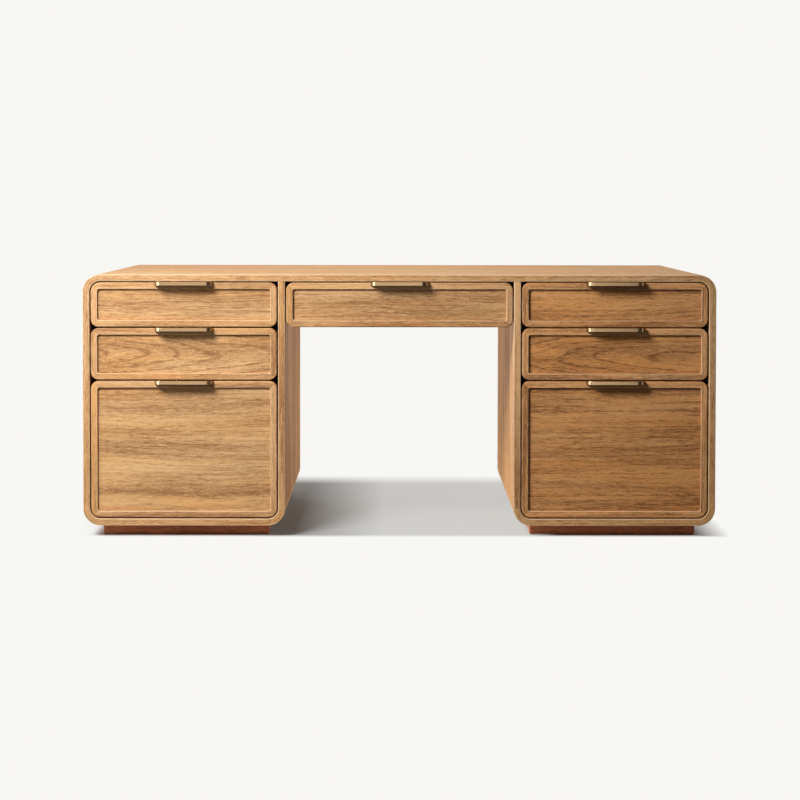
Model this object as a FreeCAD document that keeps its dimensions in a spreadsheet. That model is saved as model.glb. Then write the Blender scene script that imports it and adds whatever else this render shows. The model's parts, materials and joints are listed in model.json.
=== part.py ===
"""Double-pedestal office desk with seven drawers on telescopic slides, in millimetres.

The desk stands on the plane z = 0 with its front towards -Y, and its origin is under the middle of
its width and of its depth, the pulls included.
"""
import FreeCAD
import os
from types import SimpleNamespace

# Driving sizes: name, value and what it measures.
DRIVING_SIZES = (
    ("desk_width", 1829.0, "overall width"),
    ("desk_depth", 762.0, "depth of the carcass, without the pulls"),
    ("desk_height", 762.0, "floor to the writing surface"),
    ("board_thickness", 20.0, "carcass boards"),
    ("pedestal_width", 584.0, "outer width of one pedestal"),
    ("corner_radius", 50.0, "outer radius of the carcass corners"),
    ("edge_round", 2.0, "round on the edges of the carcass boards"),
    ("front_edge_round", 3.5, "round on a frame's outer edge"),
    ("recess_edge_round", 1.5, "round on a frame's edge towards its panel"),
    ("spline_width", 20.0, "loose tongue, across the joint"),
    ("spline_thickness", 4.0, "loose tongue"),
    ("joint_stop", 30.0, "distance of tongues and housings from the front and back edges"),
    ("housing_depth", 6.0, "depth of the housings under the top"),
    ("back_inset", 8.0, "back panels, in from the back edge"),
    ("back_thickness", 10.0, "back panels"),
    ("back_clearance", 0.3, "back panels, to the boards round them"),
    ("centre_back_height", 132.0, "back panel behind the centre drawer"),
    ("plinth_inset", 51.0, "plinth, in from the pedestal's faces"),
    ("plinth_height", 33.5, "plinth boards"),
    ("plinth_thickness", 18.0, "plinth boards"),
    ("glide_height", 1.5, "floor glides"),
    ("glide_diameter", 16.0, "floor glides"),
    ("front_gap", 3.0, "gap at the sides of the drawer fronts and under the lowest"),
    ("front_setback", 1.0, "drawer fronts, behind the carcass edge"),
    ("top_front_height", 129.0, "top row of drawer fronts"),
    ("middle_front_height", 150.0, "middle row of drawer fronts"),
    ("front_radius", 23.0, "corners of a drawer front"),
    ("frame_width", 19.0, "members of a drawer front's frame"),
    ("frame_thickness", 22.0, "members of a drawer front's frame"),
    ("recess_radius", 7.0, "inner corners of the frame"),
    ("panel_recess", 7.0, "panel, behind the frame's face"),
    ("panel_thickness", 9.0, "panel"),
    ("groove_depth", 6.0, "groove that holds the panel"),
    ("panel_clearance", 0.3, "panel's edge, to the bottom of its groove"),
    ("pull_length", 168.0, "pull, end to end"),
    ("pull_projection", 24.0, "pull, in front of the carcass edge"),
    ("pull_height", 9.5, "pull, from its plate's upper face to its lip's lower edge"),
    ("pull_wall", 2.2, "plate and lip of the pull"),
    ("pull_clearance", 0.8, "above the plate of the pull, to the board or front over it"),
    ("pull_radius", 22.0, "front corners of the pull, seen from above"),
    ("pull_flange", 14.0, "pull's flange on the top edge of the front"),
    ("pull_edge_round", 0.8, "edges of the pull"),
    ("screw_spacing", 120.0, "between the two screws of a pull"),
    ("screw_diameter", 3.0, "shank of a pull's screw"),
    ("screw_head_diameter", 6.0, "countersunk head"),
    ("screw_head_height", 1.6, "countersunk head"),
    ("screw_length", 14.0, "pull's screw, head included"),
    ("screw_slot_width", 0.8, "slot in the head"),
    ("screw_slot_depth", 0.7, "slot in the head"),
    ("screw_clearance", 0.1, "screw, to its hole all round"),
    ("box_wall", 12.0, "sides, sub-front and back of a drawer box"),
    ("box_back_space", 101.0, "behind a drawer box, to the back panel"),
    ("box_lift", 14.0, "drawer box, above the lower edge of its front"),
    ("box_headroom", 20.0, "drawer box, below the upper edge of its front"),
    ("file_box_headroom", 92.0, "file drawer box, below the upper edge of its front"),
    ("box_floor_thickness", 6.0, "bottom of a drawer box"),
    ("box_floor_lift", 10.0, "bottom, above the lower edge of the sides"),
    ("box_floor_tongue", 6.0, "bottom's edge, let into the sides"),
    ("tail_flare", 2.0, "dovetails, wider at the tip on each side"),
    ("slide_space", 13.0, "between the carcass and a drawer box"),
    ("slide_end_space", 20.0, "drawer box, past the back end of its slides"),
    ("slide_height", 45.0, "fixed slide member"),
    ("slide_wall", 1.2, "sheet of the slide members"),
    ("slide_flange", 9.0, "fixed slide member, away from its wall"),
    ("slide_clearance", 0.4, "running gap between the slide members"),
    ("overrun", 5.0, "cutting bodies, past the faces that they open"),
)

# Part of a dovetail's pitch that the tail's tip takes, and the number of tails in each row's corners.
TAIL_SHARE = 0.66
TAIL_COUNTS = {"top": 3, "middle": 3, "file": 7}

QUARTER_TURN = 90.0
TOLERANCE_SHARE = 1e-6


class Size:
    """A length that knows its value and the sheet expression that gives it."""

    def __init__(self, value, text):
        self.value = value
        self.text = text

    def joined(self, sign, other, value):
        return Size(value, f"({self.text} {sign} {as_size(other).text})")

    def __add__(self, other):
        return self.joined("+", other, self.value + as_size(other).value)

    def __sub__(self, other):
        return self.joined("-", other, self.value - as_size(other).value)

    def __mul__(self, other):
        return self.joined("*", other, self.value * as_size(other).value)

    def __truediv__(self, other):
        return self.joined("/", other, self.value / as_size(other).value)

    def __radd__(self, other):
        return as_size(other) + self

    def __rsub__(self, other):
        return as_size(other) - self

    def __rmul__(self, other):
        return as_size(other) * self

    def __neg__(self):
        return Size(-self.value, f"(-{self.text})")


def as_size(number):
    """A size as it is, or a plain number as a size."""
    return number if isinstance(number, Size) else Size(float(number), repr(float(number)))


doc = FreeCAD.newDocument("OfficeDesk")
sheet = doc.addObject("Spreadsheet::Sheet", "Sizes")
for row, (alias, value, meaning) in enumerate(DRIVING_SIZES, start=1):
    sheet.set(f"A{row}", meaning)
    sheet.set(f"B{row}", str(value))
    sheet.setAlias(f"B{row}", alias)
doc.recompute()
size = SimpleNamespace(**{alias: Size(value, f"Sizes.{alias}") for alias, value, _ in DRIVING_SIZES})
tolerance = TOLERANCE_SHARE * size.desk_width.value
nodes = {}


# Placing and binding.

def bind(thing, prop, length):
    thing.setExpression(prop, as_size(length).text)


def place(thing, corner):
    for axis, length in zip("xyz", corner):
        bind(thing, f".Placement.Base.{axis}", length)


def span(thing, low, high):
    """Sizes and places a box from its low corner to its high corner."""
    for prop, start, end in zip(("Length", "Width", "Height"), low, high):
        bind(thing, prop, as_size(end) - start)
    place(thing, low)


def keep(label, thing):
    """Names a finished sub-part."""
    thing.Label = label
    nodes[label] = thing
    return thing


def bundle(name, pieces):
    """Several loose solids as one object."""
    group = doc.addObject("Part::Compound", name)
    group.Links = pieces
    return group


def gather(label, pieces):
    """Several loose solids that make up one node."""
    return keep(label, bundle(f"{label}_group", pieces))


# Features of a body, in the body's own coordinates.

def new_body(name, corner):
    body = doc.addObject("PartDesign::Body", f"{name}_body")
    place(body, corner)
    return body


def feature(body, kind):
    """A new feature on top of what the body holds already."""
    return body.newObject(f"PartDesign::{kind}", f"{body.Name}_{kind}")


def add_block(body, low, high):
    span(feature(body, "AdditiveBox"), low, high)


def cut_block(body, low, high):
    checked_cut(body, lambda: span(feature(body, "SubtractiveBox"), low, high))


def cut_round(body, kind, corner, lengths):
    def make():
        tool = feature(body, kind)
        for prop, length in lengths.items():
            bind(tool, prop, length)
        place(tool, corner)
    checked_cut(body, make)


def checked_cut(body, make):
    """Makes a cut and makes sure that it took something away."""
    body.Tip.recompute()
    before = body.Tip.Shape.Volume
    make()
    body.Tip.recompute()
    if body.Tip.Shape.Volume >= before:
        raise RuntimeError(f"a cut in {body.Label} took nothing away")


def round_edges(body, radius, chosen):
    """Rounds the edges of the body that the test chooses."""
    base = body.Tip
    base.recompute()
    names = [f"Edge{count}" for count, edge in enumerate(base.Shape.Edges, start=1) if chosen(edge)]
    if not names:
        raise RuntimeError(f"no edge to round in {body.Label}")
    fillet = feature(body, "Fillet")
    fillet.Base = (base, names)
    bind(fillet, "Radius", radius)


def near(first, second):
    return abs(first - second) <= tolerance


def ends(edge):
    return [vertex.Point for vertex in edge.Vertexes]


def all_at(edge, axis, length):
    """Whether an edge lies in the plane where one coordinate has the given value."""
    return all(near(getattr(point, axis), as_size(length).value) for point in ends(edge))


def runs_along(edge, axis):
    """Whether an edge is straight and parallel to an axis."""
    if len(edge.Vertexes) < 2 or edge.Curve.TypeId != "Part::GeomLine":
        return False
    first, second = ends(edge)
    return all(near(getattr(first, other), getattr(second, other)) for other in "xyz" if other != axis)


def at_corner(edge, axis, corners):
    """Whether an edge runs along an axis through one of the corners, given in the other two axes."""
    if not runs_along(edge, axis):
        return False
    first, second = [other for other in "xyz" if other != axis]
    point = ends(edge)[0]
    return any(near(getattr(point, first), as_size(one).value)
               and near(getattr(point, second), as_size(two).value) for one, two in corners)


def within(edge, x0, x1, z0, z1):
    """Whether an edge lies inside a rectangle seen from the front, its outline included."""
    return all(x0.value - tolerance < point.x < x1.value + tolerance
               and z0.value - tolerance < point.z < z1.value + tolerance for point in ends(edge))


# Loose solids for the drawer boxes, slides and small pieces.

def block(name, low, high):
    solid = doc.addObject("Part::Box", name)
    span(solid, low, high)
    return solid


def cut(name, base, tools):
    """A solid with the tools cut away one after the other."""
    for tool in tools:
        remainder = doc.addObject("Part::Cut", name)
        remainder.Base = base
        remainder.Tool = tool
        base = remainder
    return base


def wedge(name, near_face, far_face, reach, corner, turn=None):
    """A prism that tapers along its own Y from one rectangle to another: (x0, x1, z0, z1)."""
    solid = doc.addObject("Part::Wedge", name)
    limits = zip(("Xmin", "Xmax", "Zmin", "Zmax", "X2min", "X2max", "Z2min", "Z2max"), near_face + far_face)
    for prop, length in limits:
        bind(solid, prop, length)
    solid.Ymin = 0
    bind(solid, "Ymax", reach)
    if turn is not None:
        solid.Placement.Rotation = turn
    place(solid, corner)
    return solid


# Planes that several pieces share.
front = (size.pull_projection - size.desk_depth) / 2
back = (size.pull_projection + size.desk_depth) / 2
left = -size.desk_width / 2
right = size.desk_width / 2
left_knee = left + size.pedestal_width
right_knee = right - size.pedestal_width
floor_level = size.glide_height + size.plinth_height
under_top = size.desk_height - size.board_thickness
on_bottom = floor_level + size.board_thickness
inner_radius = size.corner_radius - size.board_thickness
tongue_reach = size.spline_width / 2
half_board = size.board_thickness / 2
half_spline = size.spline_thickness / 2
stop_front = front + size.joint_stop
stop_back = back - size.joint_stop


# Carcass boards.

def board(label, low, high, grain_axis):
    """A board whose long edges at the front and back are eased."""
    body = new_body(label, low)
    lengths = [end - start for start, end in zip(low, high)]
    add_block(body, (0, 0, 0), lengths)
    round_edges(body, size.edge_round, lambda edge: runs_along(edge, grain_axis))
    return keep(label, body)


def tongue_slot(body, side, end):
    """Cuts the slot for a loose tongue into one end of a board.

    side is the axis that the slot goes in along, and end is where that end lies in the body: zero, or
    the board's length, where the slot goes in against the axis.
    """
    depth = (size.joint_stop, size.desk_depth - size.joint_stop)
    thick = (half_board - half_spline, half_board + half_spline)
    if as_size(end).value == 0:
        along = (-size.overrun, tongue_reach)
    else:
        along = (end - tongue_reach, end + size.overrun)
    if side == "x":
        cut_block(body, (along[0], depth[0], thick[0]), (along[1], depth[1], thick[1]))
    else:
        cut_block(body, (thick[0], depth[0], along[0]), (thick[1], depth[1], along[1]))


def desk_top():
    low = (left + size.corner_radius, front, under_top)
    high = (right - size.corner_radius, back, size.desk_height)
    body = board("desk_top", low, high, "x")
    tongue_slot(body, "x", 0)
    tongue_slot(body, "x", high[0] - low[0])
    for start in (left_knee - size.board_thickness, right_knee):
        housing = start - low[0]
        cut_block(body, (housing, size.joint_stop, -size.overrun),
                  (housing + size.board_thickness, size.desk_depth - size.joint_stop, size.housing_depth))


def outer_side(label, start):
    low = (start, front, floor_level + size.corner_radius)
    high = (start + size.board_thickness, back, size.desk_height - size.corner_radius)
    body = board(label, low, high, "z")
    tongue_slot(body, "z", 0)
    tongue_slot(body, "z", high[2] - low[2])


def inner_side(label, start):
    """A board that stands under the top, with a tongue in the top's housing."""
    low = (start, front, floor_level + size.corner_radius)
    high = (start + size.board_thickness, back, under_top)
    body = board(label, low, high, "z")
    tongue_slot(body, "z", 0)
    height = high[2] - low[2]
    add_block(body, (0, size.joint_stop, height),
              (size.board_thickness, size.desk_depth - size.joint_stop, height + size.housing_depth))


def bottom(label, start):
    low = (start + size.corner_radius, front, floor_level)
    high = (start + size.pedestal_width - size.corner_radius, back, on_bottom)
    body = board(label, low, high, "x")
    tongue_slot(body, "x", 0)
    tongue_slot(body, "x", high[0] - low[0])


def corner_block(name, centre_x, centre_z, quarter_turns):
    """A quarter-round corner; its first quadrant is turned about the corner's axis."""
    body = new_body(name, (centre_x, back, centre_z))
    upright = FreeCAD.Rotation(FreeCAD.Vector(1, 0, 0), QUARTER_TURN)
    turned = FreeCAD.Rotation(FreeCAD.Vector(0, 0, 1), quarter_turns * QUARTER_TURN)
    body.Placement.Rotation = upright.multiply(turned)
    outer = feature(body, "AdditiveCylinder")
    outer.Angle = QUARTER_TURN
    bind(outer, "Radius", size.corner_radius)
    bind(outer, "Height", size.desk_depth)
    cut_round(body, "SubtractiveCylinder", (0, 0, -size.overrun),
              {"Radius": inner_radius, "Height": size.desk_depth + 2 * size.overrun})
    round_edges(body, size.edge_round, lambda edge: not runs_along(edge, "x") and not runs_along(edge, "y")
                and not runs_along(edge, "z"))
    middle = size.corner_radius - half_board
    across = (middle - half_spline, middle + half_spline)
    depth = (size.joint_stop, size.desk_depth - size.joint_stop)
    cut_block(body, (across[0], -size.overrun, depth[0]), (across[1], tongue_reach, depth[1]))
    cut_block(body, (-size.overrun, across[0], depth[0]), (tongue_reach, across[1], depth[1]))
    return body


def corners_and_splines():
    """The six rounded corners and the loose tongues in both ends of each."""
    high_centre = size.desk_height - size.corner_radius
    low_centre = floor_level + size.corner_radius
    top_places = ((left + size.corner_radius, high_centre, 1), (right - size.corner_radius, high_centre, 0))
    low_places = [(start + size.corner_radius, low_centre, 2) for start in (left, right_knee)]
    low_places += [(end - size.corner_radius, low_centre, 3) for end in (left_knee, right)]
    gather("top_corner_blocks",
           [corner_block(f"top_corner_{count}", *spot) for count, spot in enumerate(top_places)])
    gather("bottom_corner_blocks",
           [corner_block(f"bottom_corner_{count}", *spot) for count, spot in enumerate(low_places)])
    middle = size.corner_radius - half_board
    splines = []
    for centre_x, centre_z, turns in list(top_places) + low_places:
        rim_x = centre_x + middle if turns in (0, 3) else centre_x - middle
        rim_z = centre_z + middle if turns in (0, 1) else centre_z - middle
        splines.append(block("level_spline", (centre_x - tongue_reach, stop_front, rim_z - half_spline),
                             (centre_x + tongue_reach, stop_back, rim_z + half_spline)))
        splines.append(block("upright_spline", (rim_x - half_spline, stop_front, centre_z - tongue_reach),
                             (rim_x + half_spline, stop_back, centre_z + tongue_reach)))
    gather("corner_splines", splines)


# Back panels, plinths and glides.

def pedestal_back(label, start, square_corner_at_end):
    """A panel inside one pedestal, rounded where the carcass corners are."""
    inset = size.board_thickness + size.back_clearance
    low = (start + inset, back - size.back_inset - size.back_thickness, floor_level + inset)
    width = size.pedestal_width - 2 * inset
    height = size.desk_height - floor_level - 2 * inset
    body = new_body(label, low)
    add_block(body, (0, 0, 0), (width, size.back_thickness, height))
    outer_top = 0 if square_corner_at_end else width
    round_edges(body, inner_radius - size.back_clearance,
                lambda edge: at_corner(edge, "y", ((0, 0), (width, 0), (outer_top, height))))
    keep(label, body)


def centre_back():
    low = (left_knee + size.back_clearance, back - size.back_inset - size.back_thickness,
           under_top - size.centre_back_height)
    high = (right_knee - size.back_clearance, back - size.back_inset, under_top)
    keep("centre_back_panel", block("centre_back", low, high))


def plinth(label, start):
    """Four boards under one pedestal, the front and back ones running through."""
    low_x = start + size.plinth_inset
    high_x = start + size.pedestal_width - size.plinth_inset
    low_y = front + size.plinth_inset
    high_y = back - size.plinth_inset
    thick = size.plinth_thickness
    ranges = (
        ((low_x, high_x), (low_y, low_y + thick)),
        ((low_x, high_x), (high_y - thick, high_y)),
        ((low_x, low_x + thick), (low_y + thick, high_y - thick)),
        ((high_x - thick, high_x), (low_y + thick, high_y - thick)),
    )
    boards = []
    for across, deep in ranges:
        boards.append(block("plinth_board", (across[0], deep[0], size.glide_height),
                            (across[1], deep[1], floor_level)))
    gather(label, boards)


def glides():
    inset = size.plinth_inset + size.plinth_thickness / 2
    pads = []
    for start in (left, right_knee):
        for x in (start + inset, start + size.pedestal_width - inset):
            for y in (front + inset, back - inset):
                pad = doc.addObject("Part::Cylinder", "glide")
                bind(pad, "Radius", size.glide_diameter / 2)
                bind(pad, "Height", size.glide_height)
                place(pad, (x, y, 0))
                pads.append(pad)
    gather("floor_glides", pads)


# Drawers.

def drawer_rows():
    """The lower edge, height, box height and tail count of each row of drawer fronts."""
    top_box = size.top_front_height - size.box_lift - size.box_headroom
    middle_box = size.middle_front_height - size.box_lift - size.box_headroom
    over_front = size.pull_wall + size.pull_clearance
    top_low = under_top - over_front - size.top_front_height
    middle_low = top_low - over_front - size.middle_front_height
    file_low = on_bottom + size.front_gap
    file_height = middle_low - over_front - file_low
    file_box = file_height - size.box_lift - size.file_box_headroom
    return {
        "top": (top_low, size.top_front_height, top_box, TAIL_COUNTS["top"]),
        "middle": (middle_low, size.middle_front_height, middle_box, TAIL_COUNTS["middle"]),
        "file": (file_low, file_height, file_box, TAIL_COUNTS["file"]),
    }


def drawers():
    """Every drawer: name, the opening's two sides, its row, and the front's corners in carcass corners."""
    lefts = (left + size.board_thickness, left_knee - size.board_thickness)
    rights = (right_knee + size.board_thickness, right - size.board_thickness)
    both_low = (("low", "low"), ("high", "low"))
    return (
        ("left_top_drawer", lefts, "top", (("low", "high"),)),
        ("left_middle_drawer", lefts, "middle", ()),
        ("left_file_drawer", lefts, "file", both_low),
        ("centre_drawer", (left_knee, right_knee), "top", ()),
        ("right_top_drawer", rights, "top", (("high", "high"),)),
        ("right_middle_drawer", rights, "middle", ()),
        ("right_file_drawer", rights, "file", both_low),
    )


face = front + size.front_setback
box_front = face + size.frame_thickness
box_back = back - size.back_inset - size.back_thickness - size.box_back_space


def front_frame(name, low, width, height, carcass_corners):
    """Four mitred members round the panel, grooved for it and drilled for the pull's screws."""
    body = new_body(f"{name}_ring", low)
    add_block(body, (0, 0, 0), (width, size.frame_thickness, height))
    spots = {(x, z): (0 if x == "low" else width, 0 if z == "low" else height)
             for x in ("low", "high") for z in ("low", "high")}
    plain = [spot for key, spot in spots.items() if key not in carcass_corners]
    following = [spots[key] for key in carcass_corners]
    round_edges(body, size.front_radius, lambda edge: at_corner(edge, "y", plain))
    if following:
        round_edges(body, inner_radius - size.front_gap, lambda edge: at_corner(edge, "y", following))
    rim = size.frame_width
    cut_block(body, (rim, -size.overrun, rim),
              (width - rim, size.frame_thickness + size.overrun, height - rim))
    inner = [(x, z) for x in (rim, width - rim) for z in (rim, height - rim)]
    round_edges(body, size.recess_radius, lambda edge: at_corner(edge, "y", inner))
    recess = (rim, width - rim, rim, height - rim)
    round_edges(body, size.front_edge_round, lambda edge: all_at(edge, "y", 0) and not within(edge, *recess))
    round_edges(body, size.recess_edge_round, lambda edge: all_at(edge, "y", 0) and within(edge, *recess))
    groove = rim - size.groove_depth
    cut_block(body, (groove, size.panel_recess, groove),
              (width - groove, size.panel_recess + size.panel_thickness, height - groove))
    middle = width / 2
    screw_end = height + size.pull_wall - size.screw_length
    for side in (-1, 1):
        cut_round(body, "SubtractiveCylinder",
                  (middle + side * size.screw_spacing / 2, size.pull_flange / 2, screw_end),
                  {"Radius": size.screw_diameter / 2 + size.screw_clearance, "Height": size.screw_length})
    gather(f"{name}_frame", mitred(name, body, low, width, height))


def mitred(name, ring, low, width, height):
    """Cuts a frame into its four members along the diagonals of its corners."""
    deep = size.frame_width + size.recess_radius
    lying = FreeCAD.Rotation(FreeCAD.Vector(1, 0, 0), QUARTER_TURN)
    standing = FreeCAD.Rotation(FreeCAD.Vector(0, 0, 1), -QUARTER_TURN)
    wide, narrow = (0, width), (deep, width - deep)
    tall, short = (0, height), (deep, height - deep)
    through = (-size.frame_thickness, 0)
    x, y, z = low
    cutters = (
        wedge("bottom_mitre", wide + through, narrow + through, deep, low, lying),
        wedge("top_mitre", narrow + through, wide + through, deep, (x, y, z + height - deep), lying),
        wedge("left_mitre", through + tall, through + short, deep, low, standing),
        wedge("right_mitre", through + short, through + tall, deep, (x + width - deep, y, z), standing),
    )
    members = []
    for cutter in cutters:
        member = doc.addObject("Part::Common", f"{name}_member")
        member.Base = ring
        member.Tool = cutter
        members.append(member)
    return members


def front_panel(name, low, width, height):
    edge = size.frame_width - size.groove_depth + size.panel_clearance
    x, y, z = low
    start = y + size.panel_recess
    panel = block(f"{name}_panel_board", (x + edge, start, z + edge),
                  (x + width - edge, start + size.panel_thickness, z + height - edge))
    keep(f"{name}_panel", panel)


def pull(name, low, width, height):
    """A plate on the top edge of the front, with a lip turned down in front, and its two screws."""
    corner = (low[0] + width / 2, low[1], low[2] + height + size.pull_wall)
    half = size.pull_length / 2
    reach = size.pull_projection + size.front_setback
    wall = size.pull_wall
    body = new_body(f"{name}_pull", corner)
    add_block(body, (-half, -reach, -size.pull_height), (half, 0, 0))
    cut_block(body, (wall - half, wall - reach, -size.pull_height - size.overrun),
              (half - wall, size.overrun, -wall))
    hollow = ((wall - half, wall - reach), (half - wall, wall - reach))
    round_edges(body, size.pull_radius - wall, lambda edge: at_corner(edge, "z", hollow))
    round_edges(body, size.pull_radius, lambda edge: at_corner(edge, "z", ((-half, -reach), (half, -reach))))
    add_block(body, (-half, 0, -wall), (half, size.pull_flange, 0))
    round_edges(body, size.pull_edge_round, lambda edge: shows_on_pull(edge, half - wall, wall - reach))
    screws = []
    for side in (-1, 1):
        x = side * size.screw_spacing / 2
        y = size.pull_flange / 2
        gap = size.screw_clearance
        cut_round(body, "SubtractiveCylinder", (x, y, -wall - size.overrun),
                  {"Radius": size.screw_diameter / 2 + gap, "Height": wall + 2 * size.overrun})
        cut_round(body, "SubtractiveCone", (x, y, -size.screw_head_height),
                  {"Radius1": size.screw_diameter / 2 + gap, "Radius2": size.screw_head_diameter / 2 + gap,
                   "Height": size.screw_head_height})
        screws.append(screw(name, (corner[0] + x, corner[1] + y, corner[2])))
    gather(f"{name}_pull", [body] + screws)


def shows_on_pull(edge, hollow_half, hollow_front):
    """Whether an edge belongs to the upper or lower outline of the pull, in front of its flange."""
    if all_at(edge, "y", size.pull_flange) or all_at(edge, "y", 0):
        return False
    if all_at(edge, "z", -size.pull_height):
        return any(abs(point.x) > hollow_half.value + tolerance or point.y < hollow_front.value - tolerance
                   for point in ends(edge))
    return all_at(edge, "z", 0)


def screw(name, top):
    """A slotted countersunk screw whose head is flush with the plate."""
    x, y, z = top
    head = doc.addObject("Part::Cone", f"{name}_screw_head")
    bind(head, "Radius1", size.screw_diameter / 2)
    bind(head, "Radius2", size.screw_head_diameter / 2)
    bind(head, "Height", size.screw_head_height)
    place(head, (x, y, z - size.screw_head_height))
    shank = doc.addObject("Part::Cylinder", f"{name}_screw_shank")
    bind(shank, "Radius", size.screw_diameter / 2)
    bind(shank, "Height", size.screw_length - size.screw_head_height)
    place(shank, (x, y, z - size.screw_length))
    whole = doc.addObject("Part::Fuse", f"{name}_screw_blank")
    whole.Base = head
    whole.Tool = shank
    reach = size.screw_head_diameter
    slot = block(f"{name}_screw_slot", (x - reach, y - size.screw_slot_width / 2, z - size.screw_slot_depth),
                 (x + reach, y + size.screw_slot_width / 2, z + size.overrun))
    return cut(f"{name}_screw", whole, [slot])


def tails(start, end_low, end_high, box_low, box_height, count):
    """The dovetails at one end of a drawer side; they are wide at end_low and narrow at end_high."""
    pitch = box_height / count
    tip = pitch * TAIL_SHARE / 2
    root = tip - size.tail_flare
    wide_first = end_low.value < end_high.value
    first, second = (tip, root) if wide_first else (root, tip)
    corner_y = end_low if wide_first else end_high
    made = []
    for number in range(count):
        middle = box_low + pitch * number + pitch / 2
        made.append(wedge("tail", (0, size.box_wall, -first, first), (0, size.box_wall, -second, second),
                          size.box_wall, (start, corner_y, middle)))
    return made


def drawer_box(name, opening, low_z, box_height, count):
    """Two sides, a sub-front and a back, dovetailed, round a bottom held in grooves."""
    wall = size.box_wall
    x0 = opening[0] + size.slide_space
    x1 = opening[1] - size.slide_space
    y0 = box_front
    y1 = box_back
    z0 = low_z + size.box_lift
    z1 = z0 + box_height
    let_in = wall - size.box_floor_tongue
    floor_low = z0 + size.box_floor_lift
    floor = block(f"{name}_floor", (x0 + let_in, y0 + let_in, floor_low),
                  (x1 - let_in, y1 - let_in, floor_low + size.box_floor_thickness))
    crosspieces = []
    for outer, inner in ((y0, y0 + wall), (y1, y1 - wall)):
        ends_y = (outer, inner) if outer.value < inner.value else (inner, outer)
        blank = block(f"{name}_crosspiece_blank", (x0, ends_y[0], z0), (x1, ends_y[1], z1))
        joints = tails(x0, outer, inner, z0, box_height, count)
        joints += tails(x1 - wall, outer, inner, z0, box_height, count)
        crosspieces.append(cut(f"{name}_crosspiece", blank, [bundle(f"{name}_tails", joints), floor]))
    sides = []
    for start in (x0, x1 - wall):
        blank = block(f"{name}_side_blank", (start, y0, z0), (start + wall, y1, z1))
        sides.append(cut(f"{name}_side", blank, crosspieces + [floor]))
    gather(f"{name}_box", sides + crosspieces + [floor])


# Slides: channels nested in one another on each side of a drawer.

def channel(name, wall, towards, first, last, height, middle_z, opens_inwards):
    """A channel between two distances from the carcass wall.

    towards is 1 where the drawer lies to the right of the wall and -1 where it lies to the left.
    opens_inwards says whether the open side faces the drawer.
    """
    sheet_wall = size.slide_wall
    low_z = middle_z - height / 2
    high_z = middle_z + height / 2
    if opens_inwards:
        hollow = (first + sheet_wall, last + size.overrun)
    else:
        hollow = (first - size.overrun, last - sheet_wall)

    def across(distances):
        places = [wall + towards * distance for distance in distances]
        return places if towards > 0 else places[::-1]

    outside = across((first, last))
    inside = across(hollow)
    y0 = box_front
    y1 = box_back - size.slide_end_space
    blank = block(f"{name}_blank", (outside[0], y0, low_z), (outside[1], y1, high_z))
    room = block(f"{name}_room", (inside[0], y0 - size.overrun, low_z + sheet_wall),
                 (inside[1], y1 + size.overrun, high_z - sheet_wall))
    return cut(name, blank, [room])


def slides(name, opening, low_z, box_height):
    """The fixed, middle and drawer members on both sides of one drawer; the fixed ones are returned."""
    gap = size.slide_clearance
    step = size.slide_wall + gap
    middle_z = low_z + size.box_lift + box_height / 2
    fixed, middle, moving = [], [], []
    for wall, towards in ((opening[0], 1), (opening[1], -1)):
        fixed.append(channel("fixed_slide", wall, towards, as_size(0), size.slide_flange,
                             size.slide_height, middle_z, True))
        middle.append(channel("middle_slide", wall, towards, step, size.slide_space - step,
                              size.slide_height - 2 * step, middle_z, True))
        moving.append(channel("drawer_slide", wall, towards, 2 * step, size.slide_space,
                              size.slide_height - 4 * step, middle_z, False))
    gather(f"{name}_slides", moving)
    gather(f"{name}_mid_slides", middle)
    return fixed


def build():
    desk_top()
    outer_side("left_outer_side", left)
    outer_side("right_outer_side", right - size.board_thickness)
    inner_side("left_inner_side", left_knee - size.board_thickness)
    inner_side("right_inner_side", right_knee)
    bottom("left_bottom", left)
    bottom("right_bottom", right_knee)
    corners_and_splines()
    pedestal_back("left_back_panel", left, True)
    pedestal_back("right_back_panel", right_knee, False)
    centre_back()
    plinth("left_plinth", left)
    plinth("right_plinth", right_knee)
    glides()
    rows = drawer_rows()
    fixed_slides = []
    for name, opening, row, carcass_corners in drawers():
        low_z, height, box_height, count = rows[row]
        low = (opening[0] + size.front_gap, face, low_z)
        width = opening[1] - opening[0] - 2 * size.front_gap
        front_frame(name, low, width, height, carcass_corners)
        front_panel(name, low, width, height)
        pull(name, low, width, height)
        drawer_box(name, opening, low_z, box_height, count)
        fixed_slides += slides(name, opening, low_z, box_height)
    gather("cabinet_slides", fixed_slides)


def check():
    """Stops if an object failed or a sub-part's shape is empty or not valid."""
    doc.recompute()
    for thing in doc.Objects:
        if "Invalid" in thing.State or "Error" in thing.State:
            raise RuntimeError(f"{thing.Label} failed: {thing.State}")
    for label, thing in nodes.items():
        if thing.Shape.isNull() or not thing.Shape.isValid() or not thing.Shape.Solids:
            raise RuntimeError(f"{label} has no valid shape")


def export():
    os.makedirs("parts", exist_ok=True)
    for label, thing in nodes.items():
        thing.Shape.exportStep(f"parts/{label}.step")
        print(label, len(thing.Shape.Solids), "solids", round(thing.Shape.Volume), "mm3")
    print(len(nodes), "nodes")


build()
check()
export()
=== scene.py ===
"""Looks of a double-pedestal office desk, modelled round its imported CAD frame, in metres.

The desk stands on z = 0 with its drawers towards -Y.
"""

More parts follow.
